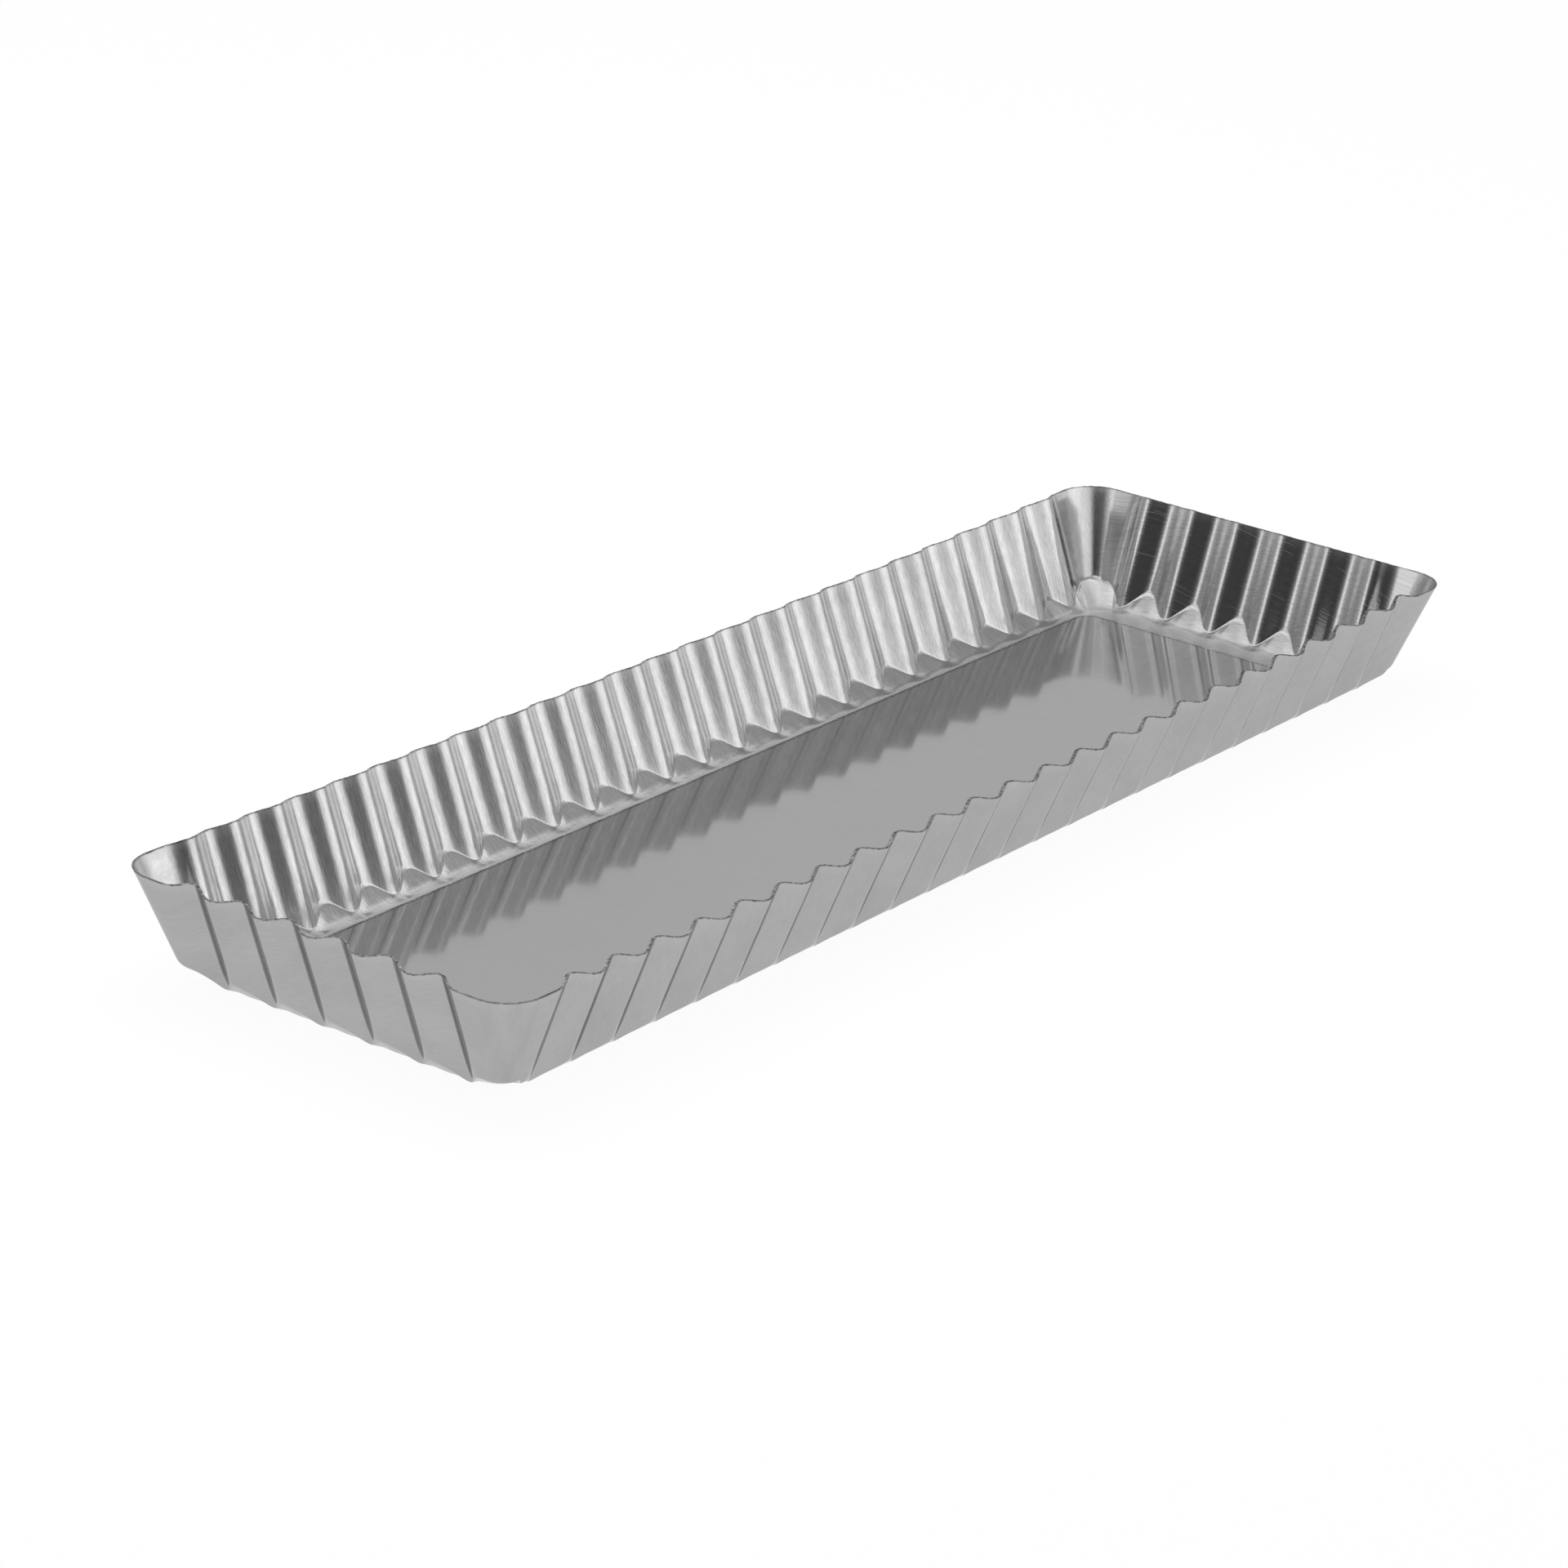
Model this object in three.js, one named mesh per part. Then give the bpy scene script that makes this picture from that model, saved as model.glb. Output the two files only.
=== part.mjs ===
// Rectangular fluted tart tin with a loose base. Millimetres, +Z up.
// The origin is the middle of the underside, on the table. X runs along the length.
import * as THREE from 'three';

// Sheet
const SHEET = 0.5;               // thickness of the pressed frame
const BASE_SHEET = 0.5;          // thickness of the loose base

// Walls and rim
const RIM_LENGTH = 350;          // over the flutes, along X
const RIM_WIDTH = 108.6;         // over the flutes beside the corners, along Y
const RIM_HEIGHT = 27.6;         // from the table to the rim, on the ridges of the short walls
const RIM_SAG = 1.6;             // drop of the rim at the middle of a long wall
const RIM_BOW = 0.75;            // outward bow of the rim at the middle of a long wall
const RIM_SCALLOP = 1;           // drop of the rim in a groove below its ridges
const WALL_FLARE = 19.8;         // degrees that the walls lean out

// Flutes: ridges point into the tin, grooves point out
const FLUTE_PITCH = 13.4;        // aimed distance between ridges, fitted to whole flutes
const FLUTE_DEPTH = 2.4;         // from the ridge line out to the groove line
const RIDGE_ROUND = 2.3;         // half width of a ridge's rounded nose; flat flanks join it to the grooves
const GROOVE_ROUND = 2.5;        // half width of a groove's rounded bottom
const CORNER_FLAT = 0.6;         // plain stretch between the last flute and the corner's round, at the foot
const CORNER_FOOT_RADIUS = 3.4;  // corner radius in plan at the foot of the ridges
const CORNER_RIM_RADIUS = 9;     // corner radius in plan at the rim

// Foot of the walls and the ledge
const RIDGE_FOOT = 0.85;         // height of a ridge's foot above the ledge
const LONG_GROOVE_FOOT = 3.3;    // height of a groove's foot above the ledge, on the long walls
const SHORT_GROOVE_FOOT = 4.5;   // the same on the short walls and in the corners
const FOOT_INSET = 2.1;          // from the feet of the ridges in to the ledge's bend
const BEND_RADIUS = 11;          // corner radius of the bend, in plan
const BEND_WAVE = 0.8;           // how far the bend swings out below a groove
const LEDGE_WIDTH = 11;          // from the bend in to the window
const WINDOW_RADIUS = 5;         // corner radius of the window

// Loose base
const BASE_END_GAP = 7.4;        // from the bend to the base, at each end
const BASE_SIDE_GAP = 2.4;       // from the bend to the base, at each side
const BASE_RADIUS = 4.8;         // corner radius of the base

// Facets
const CORNER_STEPS = 6;          // facets of a corner's round
const BASE_CORNER_STEPS = 8;     // facets of a corner of the base, an even number

// Sizes that follow from the driving ones
const flare = THREE.MathUtils.degToRad(WALL_FLARE);
const skin = SHEET / Math.cos(flare);
const ledgeTop = SHEET;
const ridgeFootHeight = ledgeTop + RIDGE_FOOT;
const spread = (RIM_HEIGHT - ridgeFootHeight) * Math.tan(flare);

// Half sizes of the ridge line on the inner face, at the rim and at the feet of the ridges
const rimLine = new THREE.Vector2(RIM_LENGTH / 2, RIM_WIDTH / 2).subScalar(skin + FLUTE_DEPTH);
const footLine = rimLine.clone().subScalar(spread);

// Half sizes of the bend below the ridges, the window and the base
const bendLine = footLine.clone().subScalar(FOOT_INSET);
const windowLine = bendLine.clone().subScalar(LEDGE_WIDTH);
const baseLine = bendLine.clone().sub(new THREE.Vector2(BASE_END_GAP, BASE_SIDE_GAP));

// The flutes of one wall: a whole number of them, plus half a flute beside each corner,
// fills the wall between the corners' flats
function fluteRow(halfFoot) {
  const halfRun = halfFoot + FLUTE_DEPTH - CORNER_FOOT_RADIUS - CORNER_FLAT;
  const halfFlutes = Math.round((2 * halfRun) / FLUTE_PITCH);
  const halfPitch = halfRun / halfFlutes;
  const ridge = Math.min(RIDGE_ROUND, halfPitch / 2);
  const groove = Math.min(GROOVE_ROUND, halfPitch / 2);
  return { halfFlutes, halfPitch, ridge, groove, cornerStart: halfRun + CORNER_FLAT };
}

const longRow = fluteRow(footLine.x);
const shortRow = fluteRow(footLine.y);

// Outward share of a flute, 0 on the ridge and 1 in the groove, at a distance from the ridge.
// The ridge's nose and the groove's bottom are parabolas that meet the flat flank smoothly.
function fluteShare({ halfPitch, ridge, groove }, distance) {
  const flank = 1 / (halfPitch - (ridge + groove) / 2);
  const fromGroove = halfPitch - distance;
  if (distance < ridge) {
    return (flank * distance ** 2) / (2 * ridge);
  }
  if (fromGroove > groove) {
    return flank * (distance - ridge / 2);
  }
  return 1 - (flank * fromGroove ** 2) / (2 * groove);
}

// Stations along half a wall, from its middle to the end of the half flute beside the corner.
// The last whole ridge is one half flute before that end, so half flutes alternate back from it.
function wallStations(row, side) {
  const { halfPitch, ridge, groove, halfFlutes } = row;
  const between = [ridge / 2, ridge, halfPitch - groove, halfPitch - groove / 2];
  const fromRidge = [0, ...between];
  const fromGroove = [halfPitch, ...[...between].reverse()];
  const stations = [];
  for (let index = 0; index < halfFlutes; index += 1) {
    const rising = (halfFlutes - index) % 2 === 1;
    for (const distance of rising ? fromRidge : fromGroove) {
      const along = index * halfPitch + (rising ? distance : halfPitch - distance);
      stations.push({ side, along, share: fluteShare(row, distance) });
    }
  }
  stations.push({ side, along: halfFlutes * halfPitch, share: 1 });
  return stations;
}

// Stations of one quarter of the tin, from the middle of a long wall to the middle of a short wall
function quarterStations() {
  const corner = [];
  for (let step = 0; step <= CORNER_STEPS; step += 1) {
    corner.push({ side: 'corner', angle: (Math.PI / 2) * (1 - step / CORNER_STEPS), share: 1 });
  }
  return [...wallStations(longRow, 'long'), ...corner, ...wallStations(shortRow, 'short').reverse()];
}

// Stations all round, anticlockwise from the middle of the +X wall, each with its quarter's signs
function ringStations() {
  const quarter = quarterStations();
  const backwards = [...quarter].reverse();
  const signed = (stations, x, y) => stations.slice(0, -1).map((station) => ({ ...station, x, y }));
  return [
    ...signed(backwards, 1, 1),
    ...signed(quarter, -1, 1),
    ...signed(backwards, -1, -1),
    ...signed(quarter, 1, -1),
  ];
}

// Direction in plan in which a station's sheet is thick
function outward(station) {
  if (station.side === 'corner') {
    return new THREE.Vector2(station.x * Math.cos(station.angle), station.y * Math.sin(station.angle));
  }
  return station.side === 'long' ? new THREE.Vector2(0, station.y) : new THREE.Vector2(station.x, 0);
}

// 1 at the middle of a long wall, falling to 0 at its corners and on the short walls
function midShare(station) {
  return station.side === 'long' ? 1 - (station.along / longRow.cornerStart) ** 2 : 0;
}

// Place of a station in plan where the ridge line has the given half sizes
function planPoint(station, line, cornerRadius, bow) {
  if (station.side === 'corner') {
    const x = line.x + FLUTE_DEPTH - cornerRadius * (1 - Math.cos(station.angle));
    const y = line.y + FLUTE_DEPTH - cornerRadius * (1 - Math.sin(station.angle));
    return new THREE.Vector2(station.x * x, station.y * y);
  }
  const out = FLUTE_DEPTH * station.share + bow * midShare(station);
  if (station.side === 'long') {
    return new THREE.Vector2(station.x * station.along, station.y * (line.y + out));
  }
  return new THREE.Vector2(station.x * (line.x + out), station.y * station.along);
}

function rimHeight(station) {
  return RIM_HEIGHT - RIM_SAG * midShare(station) - RIM_SCALLOP * station.share;
}

// Point of a rounded rectangle that is nearest to a point outside it
function nearestOnRounded(point, half, radius) {
  const low = new THREE.Vector2(radius - half.x, radius - half.y);
  const high = new THREE.Vector2(half.x - radius, half.y - radius);
  const core = point.clone().clamp(low, high);
  return point.clone().sub(core).setLength(radius).add(core);
}

// The sheet's section at a station, from the inner rim edge round to the outer rim edge
function sheetSection(station) {
  const out = outward(station);
  const rim = planPoint(station, rimLine, CORNER_RIM_RADIUS, RIM_BOW);
  const rimTop = rimHeight(station);
  const grooveFoot = station.side === 'long' ? LONG_GROOVE_FOOT : SHORT_GROOVE_FOOT;
  const footTop = ridgeFootHeight + (grooveFoot - RIDGE_FOOT) * station.share;
  const climbed = (footTop - ridgeFootHeight) / (rimTop - ridgeFootHeight);
  const foot = planPoint(station, footLine, CORNER_FOOT_RADIUS, 0).lerp(rim, climbed);
  const bend = nearestOnRounded(foot, bendLine, BEND_RADIUS).addScaledVector(out, BEND_WAVE * station.share);
  const edge = nearestOnRounded(foot, windowLine, WINDOW_RADIUS);
  const outer = (point, offset) => point.clone().addScaledVector(out, offset);
  const at = (point, height) => new THREE.Vector3(point.x, point.y, height);
  return [
    at(rim, rimTop),
    at(foot, footTop),
    at(bend, ledgeTop),
    at(edge, ledgeTop),
    at(edge, 0),
    at(outer(bend, SHEET / 2), 0),
    at(outer(foot, skin), footTop),
    at(outer(rim, skin), rimTop),
  ];
}

// Closed skin over sections that follow each other round a ring
function ringGeometry(sections) {
  const count = sections.length;
  const around = sections[0].length;
  const indices = [];
  for (let index = 0; index < count; index += 1) {
    const here = index * around;
    const next = ((index + 1) % count) * around;
    for (let point = 0; point < around; point += 1) {
      const after = (point + 1) % around;
      indices.push(here + point, next + point, next + after);
      indices.push(here + point, next + after, here + after);
    }
  }
  const geometry = new THREE.BufferGeometry().setFromPoints(sections.flat());
  geometry.setIndex(indices);
  geometry.computeVertexNormals();
  return geometry;
}

function roundedRectangle(half, radius) {
  const shape = new THREE.Shape();
  const { x, y } = half.clone().subScalar(radius);
  shape.absarc(x, y, radius, 0, Math.PI / 2);
  shape.absarc(-x, y, radius, Math.PI / 2, Math.PI);
  shape.absarc(-x, -y, radius, Math.PI, 1.5 * Math.PI);
  shape.absarc(x, -y, radius, 1.5 * Math.PI, 2 * Math.PI);
  shape.closePath();
  return shape;
}

function flutedFrame() {
  const material = new THREE.MeshStandardMaterial({ color: 0xc4c5c6, metalness: 1, roughness: 0.3 });
  const mesh = new THREE.Mesh(ringGeometry(ringStations().map(sheetSection)), material);
  mesh.name = 'fluted_frame';
  return mesh;
}

// The base lies on the ledge
function looseBase() {
  const geometry = new THREE.ExtrudeGeometry(roundedRectangle(baseLine, BASE_RADIUS), {
    depth: BASE_SHEET,
    bevelEnabled: false,
    curveSegments: BASE_CORNER_STEPS / 2,  // an arc gets two facets per segment
  });
  const material = new THREE.MeshStandardMaterial({ color: 0xb8b9ba, metalness: 1, roughness: 0.22 });
  const mesh = new THREE.Mesh(geometry, material);
  mesh.name = 'loose_base';
  mesh.position.z = ledgeTop;
  return mesh;
}

const tartPan = new THREE.Group();
tartPan.name = 'tart_pan';
tartPan.add(flutedFrame(), looseBase());

export default tartPan;
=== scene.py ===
import math
from types import SimpleNamespace

import bpy
import numpy as np
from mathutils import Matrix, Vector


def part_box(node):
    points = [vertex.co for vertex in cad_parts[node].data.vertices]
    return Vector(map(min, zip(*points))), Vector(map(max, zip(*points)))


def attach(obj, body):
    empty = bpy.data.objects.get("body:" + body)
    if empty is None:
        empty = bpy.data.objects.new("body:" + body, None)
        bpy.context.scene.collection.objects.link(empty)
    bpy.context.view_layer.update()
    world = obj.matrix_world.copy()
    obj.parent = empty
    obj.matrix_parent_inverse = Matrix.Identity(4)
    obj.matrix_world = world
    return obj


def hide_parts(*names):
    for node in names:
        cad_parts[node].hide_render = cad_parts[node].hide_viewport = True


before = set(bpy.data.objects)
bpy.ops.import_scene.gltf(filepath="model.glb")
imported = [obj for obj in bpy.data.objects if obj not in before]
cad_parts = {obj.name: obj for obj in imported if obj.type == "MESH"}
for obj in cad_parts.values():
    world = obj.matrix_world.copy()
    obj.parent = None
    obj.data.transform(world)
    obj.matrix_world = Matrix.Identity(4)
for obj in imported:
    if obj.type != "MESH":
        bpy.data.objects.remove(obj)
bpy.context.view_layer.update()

# Everything below is worked out in millimetres and written to Blender in metres
MM = 0.001
rng = np.random.default_rng(11)

# Sheet and walls of the frame, as the solids have them
SHEET = 0.5                # thickness
RIM_SAG = 1.6              # drop of the rim at the middle of a long wall
RIM_BOW = 0.75             # outward bow of the rim there
RIM_SCALLOP = 1.0          # drop of the rim in a groove below its ridges
WALL_FLARE = math.radians(19.8)

# Flutes: ridges point into the tin, grooves point out
FLUTE_PITCH = 13.4         # aimed distance between ridges, fitted to whole flutes
FLUTE_DEPTH = 2.4          # from the ridge line out to the groove line
RIDGE_ROUND = 2.3          # half width of a ridge's rounded nose
GROOVE_ROUND = 2.5         # half width of a groove's rounded bottom
CORNER_FLAT = 0.6          # plain stretch between the last flute and the corner's round, at the foot
CORNER_FOOT_RADIUS = 3.4   # corner radius in plan at the foot of the ridges
CORNER_RIM_RADIUS = 9.0    # corner radius in plan at the rim

# Foot of the walls and the ledge
RIDGE_FOOT = 0.85          # height of a ridge's foot above the ledge
LONG_GROOVE_FOOT = 3.3     # height of a groove's foot above the ledge, on the long walls
SHORT_GROOVE_FOOT = 4.5    # the same on the short walls and in the corners
FOOT_INSET = 2.1           # from the feet of the ridges in to the ledge's bend
BEND_RADIUS = 11.0         # corner radius of the bend, in plan
BEND_WAVE = 0.8            # how far the bend swings out below a groove
LEDGE_WIDTH = 11.0         # from the bend in to the window
WINDOW_RADIUS = 5.0        # corner radius of the window

# Loose base
BASE_RADIUS = 4.8          # corner radius of the base

# Softness of the pressing, which the solids leave out
CORNER_GROOVE_ROUND = 4.2  # half width of the groove's bottom that runs into a corner
RIDGE_DIP = 0.4            # how far the press drew the feet of the ridges down
GROOVE_FILLET = 1.1        # reach of the round at the foot of a groove
RIDGE_FILLET = 0.3         # reach of the round at the foot of a ridge
BEND_FILLET = 2.6          # reach of the round between the foot and the ledge
FILLET_LIMIT = 0.48        # largest share of a side that a round may take up
PRESS_DRIFT = 0.12         # how far flutes stray along the wall, at the rim
FOOT_DRIFT = 0.5           # how far they stray at the foot, where 1 is the rim's
DRIFT_STATIONS = 14        # stations that one swing of that drift spans
RIM_BURR = 0.12            # depth of the nicks that the cutter left along the rim
NICK_STATIONS = 2          # stations that one nick spans
BASE_EDGE = 0.22           # reach of the sheared round on the base's upper edge
BASE_SHOULDER = 0.3        # place of the middle of that round, as a share of its reach
BASE_CHAMFER = 0.4         # reach of the chamfer on the lower edge, as a share of the same
BASE_WAVE = 0.012          # height of the waves in the base
BASE_WAVE_FADE = 10.0      # distance from the base's edge over which they fade

# Marks that the press and the cutter left, with a painted highlight where the bend is lightened and
# painted shade in the gap at the base's edge. Wear and tear are 1 at the rim.
RIM_LIP = 0.3              # height of the strip that the cutter tore along the rim
RIM_WEAR_FADE = 0.9        # depth below the rim over which its wear fades
BEND_SCUFF_AND_HIGHLIGHT = 2.0           # wear on the bend: real scuffing that roughens it, and lightening that is a painted highlight
BASE_GAP_SHADE = 0.7            # painted shade of the gap at the base's edge, one row of points in from it

# Steps of the meshes
RIDGE_STEPS = 7
FLANK_STEPS = 3
GROOVE_STEPS = 7
CORNER_STEPS = 28
FILLET_STEPS = 7
WALL_STEPS = 5
BASE_CORNER_STEPS = 8
BASE_LENGTH_STEPS = 72
BASE_WIDTH_STEPS = 18

# Angles in degrees above which an edge shows as a crease
FRAME_CREASE = 42
BASE_CREASE = 50
STAGE_CREASE = 30

frame_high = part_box("fluted_frame")[1] / MM
base_low, base_high = (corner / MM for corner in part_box("loose_base"))

# Sizes that follow from these and from the solids' boxes
skin = SHEET / math.cos(WALL_FLARE)
rim_height = frame_high.z
ridge_foot_height = SHEET + RIDGE_FOOT
spread = (rim_height - ridge_foot_height) * math.tan(WALL_FLARE)
rim_line = np.array([frame_high.x, frame_high.y - RIM_BOW]) - skin - FLUTE_DEPTH
foot_line = rim_line - spread
bend_line = foot_line - FOOT_INSET
window_line = bend_line - LEDGE_WIDTH

LONG, SHORT, CORNER = range(3)


def flute_row(half_foot):
    """The flutes of one wall, as the solids space them."""
    half_run = half_foot + FLUTE_DEPTH - CORNER_FOOT_RADIUS - CORNER_FLAT
    half_flutes = round(2 * half_run / FLUTE_PITCH)
    return SimpleNamespace(
        half_flutes=half_flutes,
        half_pitch=half_run / half_flutes,
        corner_start=half_run + CORNER_FLAT,
    )


long_row = flute_row(foot_line[0])
short_row = flute_row(foot_line[1])


def flute_form(row, groove, distance):
    """Outward share of a flute, 0 on the ridge and 1 in the groove, and how fast it grows."""
    flank = 1 / (row.half_pitch - (RIDGE_ROUND + groove) / 2)
    if distance < RIDGE_ROUND:
        return flank * distance**2 / (2 * RIDGE_ROUND), flank * distance / RIDGE_ROUND
    from_groove = row.half_pitch - distance
    if from_groove > groove:
        return flank * (distance - RIDGE_ROUND / 2), flank
    return 1 - flank * from_groove**2 / (2 * groove), flank * from_groove / groove


def half_flute_distances(row, groove):
    """Distances from the ridge up to, but without, the groove, closest together on the rounds."""
    nose = np.linspace(0, RIDGE_ROUND, RIDGE_STEPS, endpoint=False)
    flank = np.linspace(RIDGE_ROUND, row.half_pitch - groove, FLANK_STEPS, endpoint=False)
    bottom = np.linspace(row.half_pitch - groove, row.half_pitch, GROOVE_STEPS, endpoint=False)
    return np.concatenate([nose, flank, bottom])


def wall_stations(row, side):
    """(side, along, angle, share, slope) from a wall's middle to the end of its last half flute."""
    stations = []
    for index in range(row.half_flutes):
        rising = (row.half_flutes - index) % 2 == 1
        groove = CORNER_GROOVE_ROUND if index == row.half_flutes - 1 else GROOVE_ROUND
        from_ridge = half_flute_distances(row, groove)
        from_groove = row.half_pitch - np.append(from_ridge, row.half_pitch)[:0:-1]
        for step in from_ridge if rising else from_groove:
            share, growth = flute_form(row, groove, step if rising else row.half_pitch - step)
            slope = FLUTE_DEPTH * (growth if rising else -growth)
            stations.append((side, index * row.half_pitch + step, 0.0, share, slope))
    stations.append((side, row.half_flutes * row.half_pitch, 0.0, 1.0, 0.0))
    return stations


def ring_stations():
    """Arrays of all stations and their quarter's signs, anticlockwise from the middle of the +X wall."""
    angles = np.linspace(math.pi / 2, 0, CORNER_STEPS + 1)
    corner = [(CORNER, 0.0, angle, 1.0, 0.0) for angle in angles]
    quarter = wall_stations(long_row, LONG) + corner + wall_stations(short_row, SHORT)[::-1]
    rows = []
    for sign_x, sign_y in ((1, 1), (-1, 1), (-1, -1), (1, -1)):
        ordered = quarter if sign_x * sign_y < 0 else quarter[::-1]
        rows += [(*station, sign_x, sign_y) for station in ordered[:-1]]
    side, along, angle, share, slope, sign_x, sign_y = np.array(rows).T
    signs = np.stack([sign_x, sign_y], axis=1)
    return SimpleNamespace(side=side, along=along, angle=angle, share=share, slope=slope, signs=signs)


def smooth_noise(count, knots):
    """Noise between -1 and 1 along a closed ring, with that many soft bumps."""
    values = rng.uniform(-1, 1, knots)
    place = np.arange(count) / count * knots
    low = place.astype(int) % knots
    blend = place - np.floor(place)
    blend = blend * blend * (3 - 2 * blend)
    return values[low] * (1 - blend) + values[(low + 1) % knots] * blend


def outward(stations):
    """Direction in plan from the tin's inside to its outside, square to the wall as a whole."""
    corner = np.stack([np.cos(stations.angle), np.sin(stations.angle)], axis=1)
    flat = np.where((stations.side == LONG)[:, None], [0.0, 1.0], [1.0, 0.0])
    return np.where((stations.side == CORNER)[:, None], corner, flat) * stations.signs


def through_sheet(stations):
    """Step in plan through the sheet, square to the flute's own slope."""
    along = np.where((stations.side == LONG)[:, None], [1.0, 0.0], [0.0, 1.0]) * stations.signs
    slope = stations.slope[:, None]
    return skin * (outward(stations) - slope * along) / np.sqrt(1 + slope**2)


def mid_share(stations):
    """1 at the middle of a long wall, falling to 0 at its corners and on the short walls."""
    return np.where(stations.side == LONG, 1 - (stations.along / long_row.corner_start) ** 2, 0)


def plan_points(stations, line, corner_radius, bow, drift):
    """Places of the stations in plan where the ridge line has these half sizes."""
    ring = np.stack([np.cos(stations.angle), np.sin(stations.angle)], axis=1)
    corner = line + FLUTE_DEPTH - corner_radius * (1 - ring)
    out = FLUTE_DEPTH * stations.share + bow * mid_share(stations)
    along = stations.along + drift
    on_long = np.stack([along, line[1] + out], axis=1)
    on_short = np.stack([line[0] + out, along], axis=1)
    wall = np.where((stations.side == LONG)[:, None], on_long, on_short)
    return np.where((stations.side == CORNER)[:, None], corner, wall) * stations.signs


def nearest_on_rounded(points, half, radius):
    """Points of a rounded rectangle that are nearest to points outside it."""
    core = np.clip(points, radius - half, half - radius)
    away = points - core
    return core + away * (radius / np.linalg.norm(away, axis=1, keepdims=True))


def at_height(plan, height):
    """Points in plan, lifted to one height or each to its own."""
    return np.column_stack([plan, np.broadcast_to(height, len(plan))])


def wall_rows(rim, foot):
    """Points down a wall, closest at its ends, after a narrow strip at the rim and without the foot."""
    height = np.linalg.norm(foot - rim, axis=1, keepdims=True)
    lip = rim + (foot - rim) * RIM_LIP / height
    shares = (1 - np.cos(np.linspace(0, math.pi, WALL_STEPS, endpoint=False))) / 2
    return [rim] + [lip + (foot - lip) * share for share in shares]


def rounded(before, corner, after, reach):
    """Points of a round that takes the place of a corner, no longer than its sides allow."""
    def side(end):
        away = end - corner
        length = np.linalg.norm(away, axis=1, keepdims=True)
        return corner + away * np.minimum(reach / length, FILLET_LIMIT)

    start, end = side(before), side(after)
    shares = np.linspace(0, 1, FILLET_STEPS + 1)
    return [start * (1 - t) ** 2 + corner * (2 * t * (1 - t)) + end * t**2 for t in shares]


def sheet_face(rim, foot, bend, edge, foot_reach):
    """One face of the sheet from the rim to the window, with its two rounds."""
    foot_round = rounded(rim, foot, bend, foot_reach)
    bend_round = rounded(foot, bend, edge, BEND_FILLET)
    return wall_rows(rim, foot_round[0]) + foot_round + bend_round + [edge]


def frame_sections(stations):
    """The sheet's section at each station, down the inner face and up the outer, and the bend in plan."""
    count = len(stations.share)
    through = through_sheet(stations)
    drift = PRESS_DRIFT * smooth_noise(count, count // DRIFT_STATIONS)
    rim_plan = plan_points(stations, rim_line, CORNER_RIM_RADIUS, RIM_BOW, drift)
    rim_top = rim_height - RIM_SAG * mid_share(stations) - RIM_SCALLOP * stations.share
    groove_foot = np.where(stations.side == LONG, LONG_GROOVE_FOOT, SHORT_GROOVE_FOOT)
    foot_top = ridge_foot_height + (groove_foot - RIDGE_FOOT) * stations.share
    foot_top -= RIDGE_DIP * (1 - stations.share)
    climbed = ((foot_top - ridge_foot_height) / (rim_top - ridge_foot_height))[:, None]
    foot_plan = plan_points(stations, foot_line, CORNER_FOOT_RADIUS, 0, drift * FOOT_DRIFT)
    foot_plan = foot_plan * (1 - climbed) + rim_plan * climbed
    bend_plan = nearest_on_rounded(foot_plan, bend_line, BEND_RADIUS)
    bend_plan += BEND_WAVE * stations.share[:, None] * outward(stations)
    edge_plan = nearest_on_rounded(foot_plan, window_line, WINDOW_RADIUS)
    nicks = RIM_BURR * np.abs(smooth_noise(count, count // NICK_STATIONS))
    foot_reach = RIDGE_FILLET + (GROOVE_FILLET - RIDGE_FILLET) * stations.share[:, None]
    inner = sheet_face(
        at_height(rim_plan, rim_top),
        at_height(foot_plan, foot_top),
        at_height(bend_plan, SHEET),
        at_height(edge_plan, SHEET),
        foot_reach,
    )
    outer = sheet_face(
        at_height(rim_plan + through, rim_top - nicks),
        at_height(foot_plan + through, foot_top),
        at_height(bend_plan + outward(stations) * SHEET / 2, 0),
        at_height(edge_plan, 0),
        foot_reach,
    )
    return np.stack(inner + outer[::-1], axis=1), bend_plan


def blank_places(sections, bend_plan, out):
    """Where each point lay in the flat blank, which keeps the grain of the rolled sheet."""
    face = sections.shape[1] // 2
    places = []
    for points in (sections[:, :face], sections[:, face:][:, ::-1]):
        steps = np.linalg.norm(np.diff(points, axis=1), axis=2)
        from_window = np.cumsum(np.pad(steps[:, ::-1], ((0, 0), (1, 0))), axis=1)[:, ::-1]
        reach = from_window - LEDGE_WIDTH
        places.append(bend_plan[:, None] + out[:, None] * reach[:, :, None])
    return np.concatenate([places[0], places[1][:, ::-1]], axis=1)


def ring_faces(count, around):
    """Quads over sections that follow each other round a ring."""
    here = np.arange(count)[:, None] * around
    following = (np.arange(count)[:, None] + 1) % count * around
    point = np.arange(around)[None]
    after = (point + 1) % around
    quads = np.stack([here + point, following + point, following + after, here + after], axis=2)
    return quads.reshape(-1, 4)


def add_mesh(name, points, faces, crease):
    """A mesh object from points in millimetres, smooth but for edges that turn by more than the crease."""
    mesh = bpy.data.meshes.new(name)
    mesh.from_pydata((np.asarray(points) * MM).tolist(), [], [list(face) for face in faces])
    mesh.polygons.foreach_set("use_smooth", [True] * len(mesh.polygons))
    mesh.set_sharp_from_angle(angle=math.radians(crease))
    mesh.update()
    piece = bpy.data.objects.new(name, mesh)
    bpy.context.scene.collection.objects.link(piece)
    return piece


def add_uv(piece, places):
    """Stores each point's place in the blank, in metres, as the piece's UV map."""
    layer = piece.data.uv_layers.new(name="blank")
    corners = np.zeros(len(piece.data.loops), int)
    piece.data.loops.foreach_get("vertex_index", corners)
    layer.data.foreach_set("uv", (places * MM)[corners].astype(np.float32).ravel())


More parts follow.
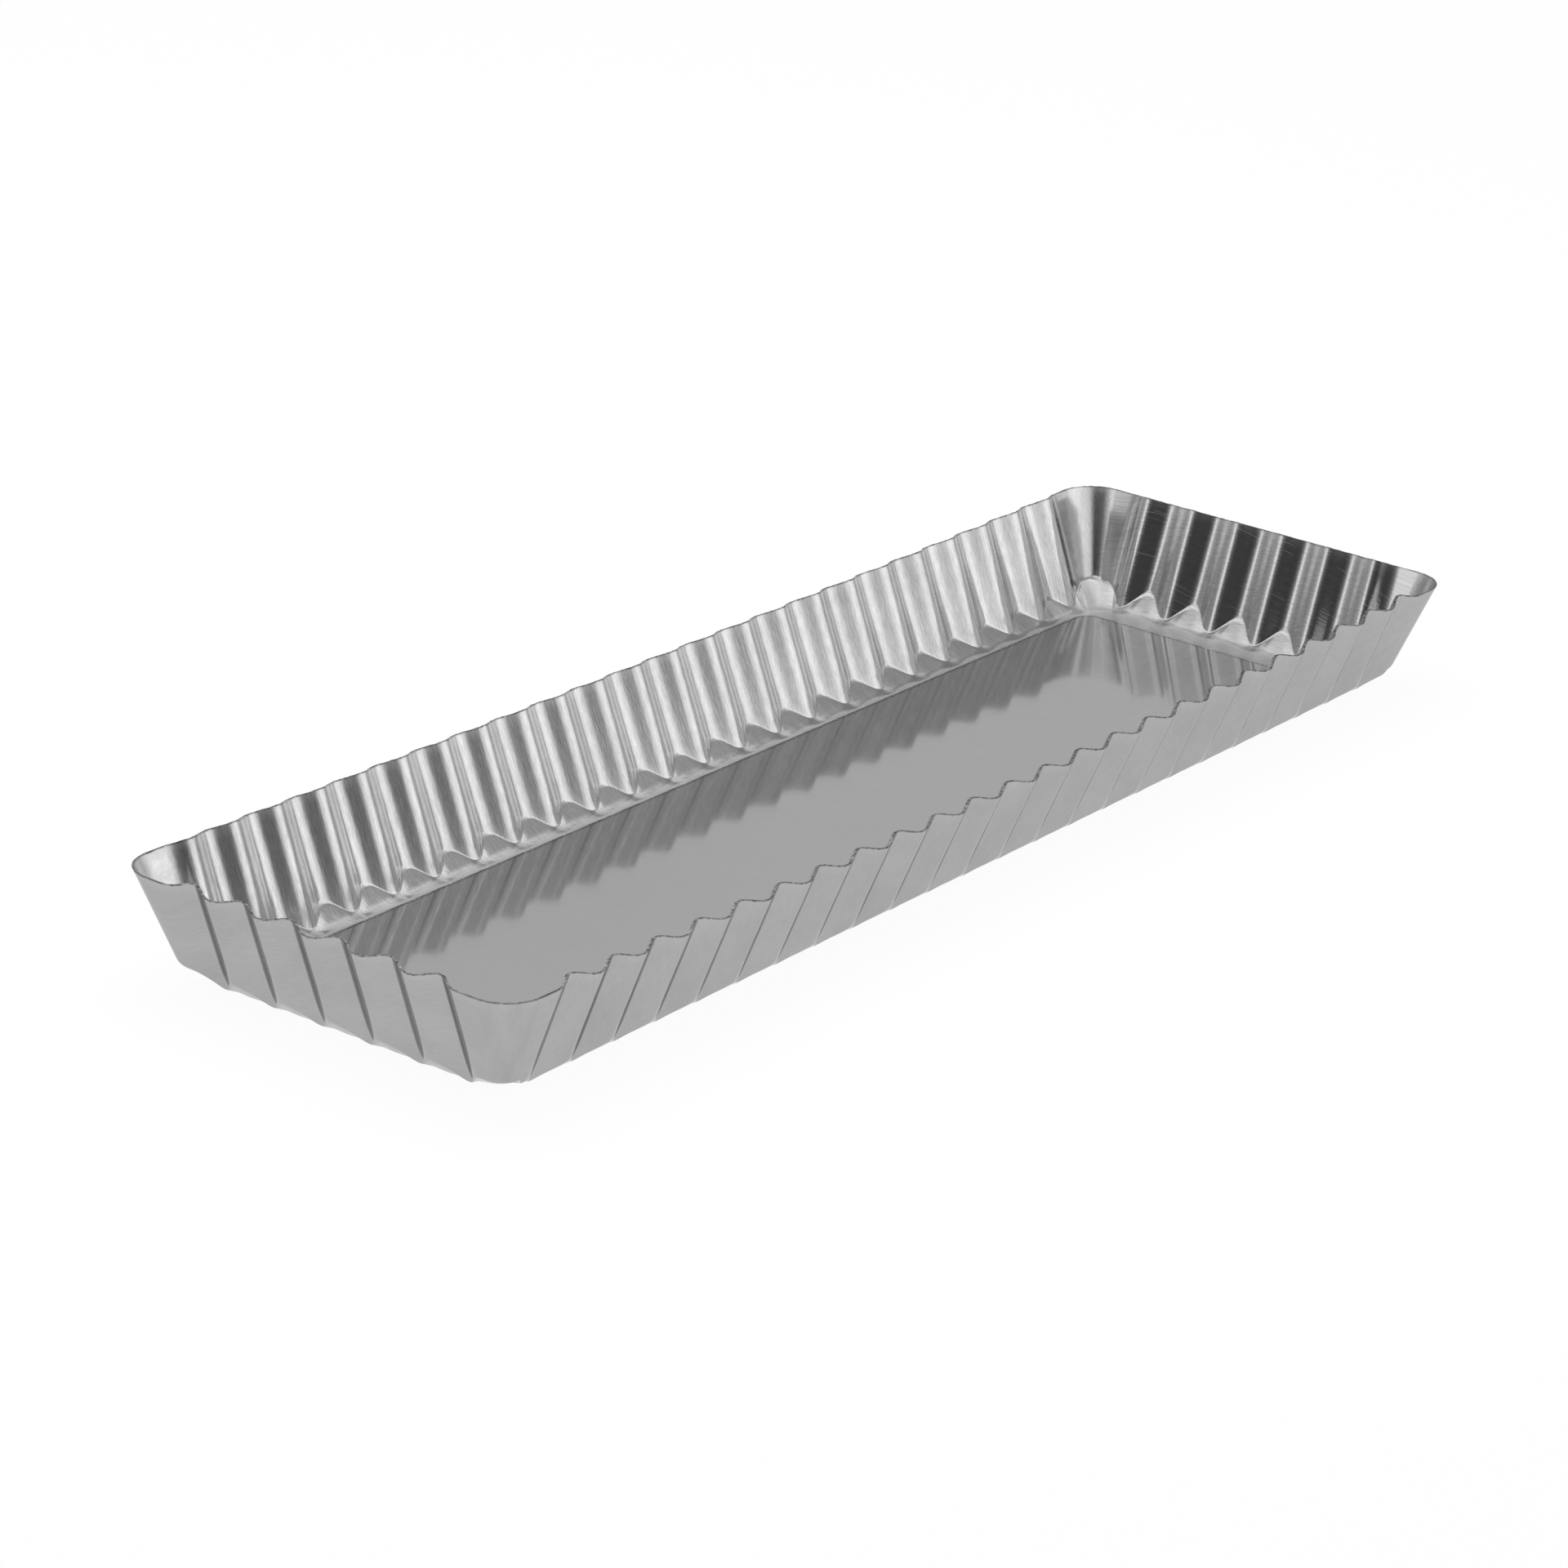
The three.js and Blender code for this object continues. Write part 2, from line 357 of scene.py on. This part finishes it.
def add_value(piece, name, values):
    """Stores a number per point that the material reads."""
    attribute = piece.data.attributes.new(name, "FLOAT", "POINT")
    attribute.data.foreach_set("value", values.astype(np.float32).ravel())


def fluted_frame():
    """The pressed ring, with its wear and the bend's painted highlight, its torn rim and its outside,
    painted darker as shade, marked on the points.
    """
    stations = ring_stations()
    sections, bend_plan = frame_sections(stations)
    count, around = sections.shape[:2]
    piece = add_mesh("pressed_frame", sections.reshape(-1, 3), ring_faces(count, around), FRAME_CREASE)
    add_uv(piece, blank_places(sections, bend_plan, outward(stations)).reshape(-1, 2))
    below_rim = np.maximum(sections[:, :1, 2] - sections[:, :, 2], 0)
    wear_and_highlight = np.exp(-below_rim / RIM_WEAR_FADE)
    window_edge = around // 2 - 1
    # The bend's scuff roughens it, and its lightening there is a painted highlight
    wear_and_highlight[:, window_edge - FILLET_STEPS // 2:window_edge] = BEND_SCUFF_AND_HIGHLIGHT
    add_value(piece, "wear_and_highlight", wear_and_highlight)
    cut_and_gap_shade_mask = np.zeros((count, around))
    cut_and_gap_shade_mask[:, [0, -1]] = 1
    add_value(piece, "cut_and_gap_shade", cut_and_gap_shade_mask)
    outside = np.zeros((count, around))
    outside[:, around // 2:] = 1
    add_value(piece, "outside", outside)
    return piece


def base_grid(inset):
    """The base's plan, set in from its edge: a grid whose corner squares are bent into rounds."""
    half = np.array([base_high.x, base_high.y]) - inset
    radius = BASE_RADIUS - inset

    def lines(reach, steps):
        corner = np.linspace(reach - radius, reach, BASE_CORNER_STEPS + 1)
        middle = np.linspace(radius - reach, reach - radius, steps + 1)[1:-1]
        return np.concatenate([-corner[::-1], middle, corner])

    x_lines, y_lines = lines(half[0], BASE_LENGTH_STEPS), lines(half[1], BASE_WIDTH_STEPS)
    square = np.stack(np.meshgrid(x_lines, y_lines, indexing="ij"), axis=2)
    core = np.clip(square, radius - half, half - radius)
    into_corner = (square - core) / radius
    return core + radius * into_corner * np.sqrt(1 - into_corner[:, :, ::-1] ** 2 / 2)


def grid_edge(grid):
    """The outermost values of a grid, once round it anticlockwise."""
    return np.concatenate([grid[:-1, 0], grid[-1, :-1], grid[:0:-1, -1], grid[0, :0:-1]])


def base_waves(plan):
    """Shallow waves that a rolled plate keeps, fading towards its edge and never above its top."""
    x, y = plan.T
    cross_share, short_share = 0.7, 0.5
    # Each x and y is divided by a wave's length in millimetres per radian
    sway = 0.6 * np.sin(y / 19)
    long_waves = np.sin(x / 23 + sway)
    cross_waves = cross_share * np.sin(y / 13 + x / 61)
    short_waves = short_share * np.sin(x / 9 - y / 27)
    waves = (long_waves + cross_waves + short_waves) / (1 + cross_share + short_share)
    from_edge = np.array([base_high.x, base_high.y]) - np.abs(plan)
    room = np.clip(from_edge / BASE_WAVE_FADE, 0, 1).prod(axis=1)
    return BASE_WAVE * (waves * room - 1)


def loose_base():
    """The flat plate, from its waved top over the sheared edge to its underside."""
    top, bottom = base_high.z, base_low.z
    shoulder = BASE_SHOULDER * BASE_EDGE
    chamfer = BASE_CHAMFER * BASE_EDGE
    profile = (
        (shoulder, top - BASE_WAVE - shoulder),
        (0.0, top - BASE_WAVE - BASE_EDGE),
        (0.0, bottom + chamfer),
    )
    upper = base_grid(BASE_EDGE)
    numbers = np.arange(upper[:, :, 0].size).reshape(upper.shape[:2])
    upper = upper.reshape(-1, 2)
    lower = base_grid(chamfer).reshape(-1, 2)
    side = [at_height(grid_edge(base_grid(inset)), height) for inset, height in profile]
    points = np.concatenate([at_height(upper, top + base_waves(upper)), *side, at_height(lower, bottom)])

    quads = np.stack([numbers[:-1, :-1], numbers[1:, :-1], numbers[1:, 1:], numbers[:-1, 1:]], axis=2)
    quads = quads.reshape(-1, 4)
    first_side = len(upper)
    first_lower = first_side + len(side) * len(side[0])
    loops = [grid_edge(numbers)]
    loops += [first_side + index * len(ring) + np.arange(len(ring)) for index, ring in enumerate(side)]
    loops.append(first_lower + grid_edge(numbers))
    faces = [quads, quads[:, ::-1] + first_lower]
    for over, under in zip(loops, loops[1:]):
        faces.append(np.stack([over, under, np.roll(under, -1), np.roll(over, -1)], axis=1))

    piece = add_mesh("flat_base", points, np.concatenate(faces), BASE_CREASE)
    add_uv(piece, points[:, :2])
    edge = np.concatenate(loops[:-1])
    wear_and_highlight = np.zeros(len(points))
    wear_and_highlight[edge] = 1
    add_value(piece, "wear_and_highlight", wear_and_highlight)
    cut_and_gap_shade_mask = np.zeros(len(points))
    # Painted shade of the gap between the base and the ledge, one row in; the sheared edge darkens as a
    # cut and as painted shade
    cut_and_gap_shade_mask[grid_edge(numbers[1:-1, 1:-1])] = BASE_GAP_SHADE
    cut_and_gap_shade_mask[edge] = 1
    add_value(piece, "cut_and_gap_shade", cut_and_gap_shade_mask)
    return piece


class Nodes:
    """Short calls to make and link the nodes of one material or world."""

    def __init__(self, owner):
        owner.use_nodes = True
        self.tree = owner.node_tree
        self.tree.nodes.clear()

    def add(self, kind, inputs=None, **settings):
        made = self.tree.nodes.new("ShaderNode" + kind)
        for name, value in settings.items():
            setattr(made, name, value)
        for name, value in (inputs or {}).items():
            if isinstance(value, bpy.types.NodeSocket):
                self.tree.links.new(value, made.inputs[name])
            else:
                made.inputs[name].default_value = value
        return made

    def point_value(self, name):
        return self.add("Attribute", attribute_name=name).outputs["Fac"]

    def math(self, operation, *values):
        return self.add("Math", dict(enumerate(values)), operation=operation).outputs[0]

    def ramp(self, value, low=0.0, high=1.0, to_low=0.0, to_high=1.0):
        inputs = {0: value, 1: low, 2: high, 3: to_low, 4: to_high}
        return self.add("MapRange", inputs, clamp=True).outputs[0]

    def noise(self, vector, detail=2.0, roughness=0.5):
        inputs = {"Vector": vector, "Scale": 1.0, "Detail": detail, "Roughness": roughness}
        return self.add("TexNoise", inputs).outputs[0]

    def output(self, kind, shader):
        made = self.add("Output" + kind)
        self.tree.links.new(shader, made.inputs["Surface"])


WHITE = (1, 1, 1, 1)

# Finish of the tinplate
OUTSIDE_STREAKS = 0.3      # depth of the streaks on the outside, where 1 is the inside's
OUTSIDE_GLINT = 0.8        # what the outside mirrors at a flat angle, where 1 is the inside's
SMUDGE_DEPTH = 0.4         # how far smudges darken, where 1 is what streaks do
TEAR_AND_GAP_SHADE_DEPTH = (0.1, 0.8)    # share by which a torn edge darkens, at least and at most; at the base's edge this is partly painted shade of the gap
WEAR_AND_HIGHLIGHT_LIGHTENING = 0.1           # share by which full wear lightens; on the bend this is a painted highlight
WEAR_HAZE = 0.12           # roughness that full wear adds
SMUDGE_HAZE = (0.85, 1.2)  # roughness where smudges are thin and thick, as shares of the sheet's
GRAIN_HAZE = 0.2           # roughness that the coarse grain adds, as a share of the sheet's
COARSE_GRAIN = 4.0         # height of the coarse grain, where 1 is the fine grain's
SCRATCH_DEPTH = 1.5        # depth of the scratches, where 1 is the fine grain's


def tinplate(name, colour, roughness, grain_height, streak_depth, shaded_outside_colour=None):
    """Bright rolled tinplate: short brushed streaks across the blank, smudges, scratches and edge wear.

    The grain's height is in millimetres, and the streaks' depth is the share by which they darken.
    With a shaded outside colour, the points that are marked as outside take that darker colour as painted
    shade, as if the floor they mirror were dim, and have shallower streaks and a weaker glint.
    """
    material = bpy.data.materials.new(name)
    nodes = Nodes(material)
    blank = nodes.add("UVMap", uv_map="blank").outputs[0]
    # Wear, which on the bend is also a painted highlight, and cut edges, which at the base are also
    # painted gap shade
    wear_and_highlight = nodes.point_value("wear_and_highlight")
    cut_and_gap_shade_mask = nodes.point_value("cut_and_gap_shade")

    def bumps(across, along, turn=0.0, **texture):
        """Noise on the blank, with bumps of this width and length in millimetres."""
        inputs = {"Vector": blank, "Rotation": (0, 0, math.radians(turn)),
                  "Scale": (1 / (across * MM), 1 / (along * MM), 1)}
        return nodes.noise(nodes.add("Mapping", inputs).outputs[0], **texture)

    fine_grain = bumps(across=0.16, along=3.5, turn=4, detail=3, roughness=0.6)
    coarse_grain = bumps(across=0.45, along=4, turn=-3)
    smudges = bumps(across=14, along=22, turn=20, detail=4, roughness=0.6)
    brushing = bumps(across=0.36, along=3.2, turn=5, detail=3, roughness=0.75)
    streaks = nodes.ramp(brushing, low=0.3, high=0.7)
    scratches = nodes.ramp(bumps(across=0.12, along=30, turn=63, detail=1), low=0.74, high=0.78)
    # Torn cut edges darken; at the base's edge the darkening is also painted shade of the gap
    tear_and_gap_noise = bumps(across=0.8, along=0.8, detail=3, roughness=0.7)
    torn_and_gap_shaded = nodes.ramp(tear_and_gap_noise, 0.35, 0.6, *TEAR_AND_GAP_SHADE_DEPTH)

    streaking, plain, glint = streak_depth, colour, WHITE
    # The outside's darker colour is painted shade, as if the floor it mirrors were dim
    if shaded_outside_colour:
        outside = nodes.point_value("outside")
        streaking = nodes.ramp(outside, to_low=streak_depth, to_high=streak_depth * OUTSIDE_STREAKS)
        sides = {"Factor": outside, "A": colour, "B": shaded_outside_colour}
        plain = nodes.add("Mix", sides, data_type="VECTOR").outputs["Result"]
        glint = nodes.ramp(outside, to_low=1.0, to_high=OUTSIDE_GLINT)

    darker = nodes.math("MULTIPLY", streaks, streaking)
    dull = nodes.ramp(smudges, low=0.35, high=0.75, to_high=streak_depth * SMUDGE_DEPTH)
    darker = nodes.math("ADD", darker, dull)
    darker = nodes.math("SUBTRACT", darker, nodes.math("MULTIPLY", wear_and_highlight, WEAR_AND_HIGHLIGHT_LIGHTENING))
    darker = nodes.math("ADD", darker, nodes.math("MULTIPLY", cut_and_gap_shade_mask, torn_and_gap_shaded))
    shade = nodes.math("SUBTRACT", 1.0, darker)
    tint = nodes.add("VectorMath", {0: plain, 1: shade}, operation="MULTIPLY").outputs[0]

    thin, thick = SMUDGE_HAZE
    haze = nodes.ramp(smudges, low=0.3, high=0.75, to_low=roughness * thin, to_high=roughness * thick)
    grain_haze = nodes.ramp(coarse_grain, low=0.4, high=0.7, to_high=roughness * GRAIN_HAZE)
    haze = nodes.math("ADD", haze, grain_haze)
    haze = nodes.math("ADD", haze, nodes.math("MULTIPLY", wear_and_highlight, WEAR_HAZE))

    height = nodes.math("ADD", fine_grain, nodes.math("MULTIPLY", coarse_grain, COARSE_GRAIN))
    height = nodes.math("SUBTRACT", height, nodes.math("MULTIPLY", scratches, SCRATCH_DEPTH))
    relief = {"Height": height, "Strength": 1.0, "Distance": grain_height * MM}
    bump = nodes.add("Bump", relief).outputs[0]

    inputs = {"Base Color": tint, "Metallic": 1.0, "Roughness": haze, "Normal": bump,
              "Specular Tint": glint}
    nodes.output("Material", nodes.add("BsdfPrincipled", inputs).outputs[0])
    return material


# Floor, lamp and room
FLOOR_PAINT = (0.9, 0.9, 0.9, 1)
FLOOR_WHITENESS = 0.95     # share of plain white in what the floor shows
FLOOR_HALF = 6000.0        # half the floor's side
FLOOR_GAP = 0.3            # how far the floor lies below the tin, so that their faces don't mix
LAMP_SIZE = 800.0          # side of the square lamp
LAMP_PLACE = (50.0, 200.0, 900.0)
LAMP_BRIGHTNESS = 3.2      # where 1 is white
ROOM_LIGHT = 0.6           # brightness by which the room lights things, while it shows as white


def shown_white(nodes):
    """1 for rays that show the background: from the camera, in metal and through glass."""
    path = nodes.add("LightPath").outputs
    shown = nodes.math("MAXIMUM", path["Is Camera Ray"], path["Is Glossy Ray"])
    return nodes.math("MAXIMUM", shown, path["Is Transmission Ray"])


def floor_material():
    """Pale floor that shows as white and keeps a faint shadow. From below it can be seen through."""
    material = bpy.data.materials.new("pale_floor")
    nodes = Nodes(material)
    paint = nodes.add("BsdfDiffuse", {"Color": FLOOR_PAINT}).outputs[0]
    glow = nodes.add("Emission", {"Color": WHITE, "Strength": 1.0}).outputs[0]
    share = nodes.math("MULTIPLY", shown_white(nodes), FLOOR_WHITENESS)
    top = nodes.add("MixShader", {0: share, 1: paint, 2: glow}).outputs[0]
    clear = nodes.add("BsdfTransparent").outputs[0]
    below = nodes.add("NewGeometry").outputs["Backfacing"]
    nodes.output("Material", nodes.add("MixShader", {0: below, 1: top, 2: clear}).outputs[0])
    return material


def add_floor():
    signs = ((-1, -1), (1, -1), (1, 1), (-1, 1))
    corners = [(x * FLOOR_HALF, y * FLOOR_HALF, -FLOOR_GAP) for x, y in signs]
    floor = add_mesh("floor", corners, [(0, 1, 2, 3)], STAGE_CREASE)
    floor.data.materials.append(floor_material())


# Rings of soft panels in the light tent, from the floor up: compass angle from +X in degrees, and
# brightness, where 1 is white. The steps are the elevations in degrees over which one ring gives way
# to the next.
TENT_RINGS = (
    ((-180, 0.5), (180, 0.5)),
    ((-180, 0.06), (-138, 0.06), (-120, 0.14), (-110, 0.2), (-104, 0.34), (-97, 0.64), (-90, 0.9),
     (-80, 1.07), (-62, 1.28), (-50, 1.24), (-34, 1.08), (-25, 0.8), (-17, 0.4), (-6, 0.32), (5, 0.35),
     (16, 0.56), (38, 0.56), (45, 0.5), (80, 0.45), (92, 0.31), (106, 0.33), (120, 0.4), (139, 0.55),
     (145, 1.05), (158, 1.05), (163, 0.5), (168, 0.08), (180, 0.06)),
    ((-180, 0.2), (-168, 0.1), (-155, 0.05), (-135, 0.05), (-125, 0.5), (-115, 0.85), (-105, 0.95),
     (-75, 1.05), (-58, 1.25), (-45, 1.2), (-36, 0.7), (-25, 0.5), (-14, 0.36), (0, 0.35), (18, 0.38),
     (28, 0.57), (57, 0.57), (66, 0.9), (85, 0.9), (105, 0.85), (150, 0.9), (165, 0.6), (180, 0.2)),
    ((-180, 1.1), (-140, 1.0), (-130, 0.5), (-105, 0.55), (-92, 0.6), (-82, 0.38), (-55, 0.36),
     (-40, 0.41), (-15, 0.43), (8, 0.42), (20, 0.65), (26, 0.85), (60, 0.8), (70, 0.5), (80, 0.35),
     (104, 0.35), (114, 1.1), (180, 1.1)),
    ((-180, 0.65), (-135, 0.6), (-118, 0.45), (-38, 0.45), (-28, 0.8), (-10, 1.0), (30, 1.0),
     (60, 0.88), (95, 0.75), (115, 0.75), (128, 0.65), (155, 0.66), (180, 0.65)),
    ((-180, 0.62), (-130, 0.6), (-115, 0.48), (-78, 0.48), (-66, 1.15), (-40, 1.2), (30, 1.05),
     (90, 0.9), (130, 0.8), (150, 0.7), (157, 1.0), (164, 0.8), (172, 0.62), (180, 0.62)),
)
TENT_STEPS = ((5, 8), (18, 27), (37, 42), (53, 57), (60, 63))
TENT_RADIUS = 950.0
TENT_SIDES = 96
TENT_ROWS = 24


def panel_ramp(nodes, around, panels):
    """Brightness of a ring of panels at a share of a full turn."""
    brightest = max(strength for _, strength in panels)
    ramp = nodes.add("ValToRGB", {0: around})
    stops = ramp.color_ramp.elements
    while len(stops) < len(panels):
        stops.new(1.0)
    for stop, (angle, strength) in zip(stops, panels):
        stop.position = (angle + 180) / 360
        level = strength / brightest
        stop.color = (level, level, level, 1)
    return nodes.math("MULTIPLY", ramp.outputs[0], brightest)


def tent_material():
    """Panels that glow by their compass angle and their elevation, seen from the middle of the tent."""
    material = bpy.data.materials.new("light_tent")
    nodes = Nodes(material)
    place = nodes.add("TexCoord").outputs["Object"]
    split = nodes.add("SeparateXYZ", {0: place}).outputs
    turn = nodes.math("ARCTAN2", split["Y"], split["X"])
    around = nodes.ramp(turn, low=-math.pi, high=math.pi)
    climb = nodes.math("ARCSINE", nodes.math("DIVIDE", split["Z"], TENT_RADIUS * MM))

    level, *upper = (panel_ramp(nodes, around, panels) for panels in TENT_RINGS)
    for (start, end), above in zip(TENT_STEPS, upper):
        level = nodes.ramp(climb, math.radians(start), math.radians(end), level, above)
    nodes.output("Material", nodes.add("Emission", {"Color": WHITE, "Strength": level}).outputs[0])
    return material


def add_tent():
    """A half sphere of soft panels that shows only as reflections."""
    turns = np.linspace(0, 2 * math.pi, TENT_SIDES, endpoint=False)
    climbs = np.linspace(0, math.pi / 2, TENT_ROWS, endpoint=False)
    ring = np.stack([np.cos(turns), np.sin(turns)], axis=1)
    rows = [at_height(ring * math.cos(climb), math.sin(climb)) for climb in climbs]
    peak = [[0, 0, 1]]
    points = TENT_RADIUS * np.concatenate(rows + [peak])
    numbers = np.arange(TENT_ROWS * TENT_SIDES).reshape(TENT_ROWS, TENT_SIDES)
    after = np.roll(numbers, -1, axis=1)
    faces = np.stack([numbers[:-1], after[:-1], after[1:], numbers[1:]], axis=2).reshape(-1, 4).tolist()
    faces += [[here, there, len(points) - 1] for here, there in zip(numbers[-1], after[-1])]
    tent = add_mesh("light_tent", points, faces, STAGE_CREASE)
    tent.data.materials.append(tent_material())
    tent.visible_camera = False
    tent.visible_diffuse = False
    tent.visible_shadow = False


def add_overhead_lamp():
    """A soft lamp that lights the floor and gives the tin its shadow."""
    side = LAMP_SIZE * MM
    lamp = bpy.data.lights.new("overhead", "AREA")
    lamp.shape = "SQUARE"
    lamp.size = side
    lamp.energy = LAMP_BRIGHTNESS * math.pi * side * side
    holder = bpy.data.objects.new("overhead", lamp)
    holder.location = [distance * MM for distance in LAMP_PLACE]
    holder.visible_camera = False
    holder.visible_glossy = False
    bpy.context.scene.collection.objects.link(holder)


def add_world():
    world = bpy.data.worlds.new("white_room")
    bpy.context.scene.world = world
    nodes = Nodes(world)
    strength = nodes.ramp(shown_white(nodes), to_low=ROOM_LIGHT)
    nodes.output("World", nodes.add("Background", {"Color": WHITE, "Strength": strength}).outputs[0])


# The photograph's view
CAMERA_PLACE = (-918.55, -683.17, 462.0)
CAMERA_TURN = (68.376, -2.180, -51.942)  # degrees
CAMERA_LENS = 125.07
SENSOR_WIDTH = 36.0


def add_camera():
    camera = bpy.data.cameras.new("camera")
    camera.sensor_width = SENSOR_WIDTH
    camera.lens = CAMERA_LENS
    holder = bpy.data.objects.new("camera", camera)
    holder.location = [distance * MM for distance in CAMERA_PLACE]
    holder.rotation_euler = [math.radians(turn) for turn in CAMERA_TURN]
    bpy.context.scene.collection.objects.link(holder)
    bpy.context.scene.camera = holder


def dress(piece, node, body, material):
    """Gives a piece its material and its body, and hides the solid that it stands for."""
    piece.data.materials.append(material)
    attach(piece, body)
    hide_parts(node)


bpy.context.scene.view_settings.view_transform = "Standard"
frame_tin = tinplate(
    "frame_tin",
    colour=(0.77, 0.77, 0.775),
    # Painted shade: the outside is darker, as if the floor it mirrors were dim
    shaded_outside_colour=(0.44, 0.44, 0.445),
    roughness=0.12,
    grain_height=0.0045,
    streak_depth=0.28,
)
base_tin = tinplate(
    "base_tin",
    colour=(0.64, 0.64, 0.645),
    roughness=0.07,
    grain_height=0.0006,
    streak_depth=0.05,
)
dress(fluted_frame(), "fluted_frame", "frame", frame_tin)
dress(loose_base(), "loose_base", "base", base_tin)
add_floor()
add_tent()
add_overhead_lamp()
add_world()
add_camera()
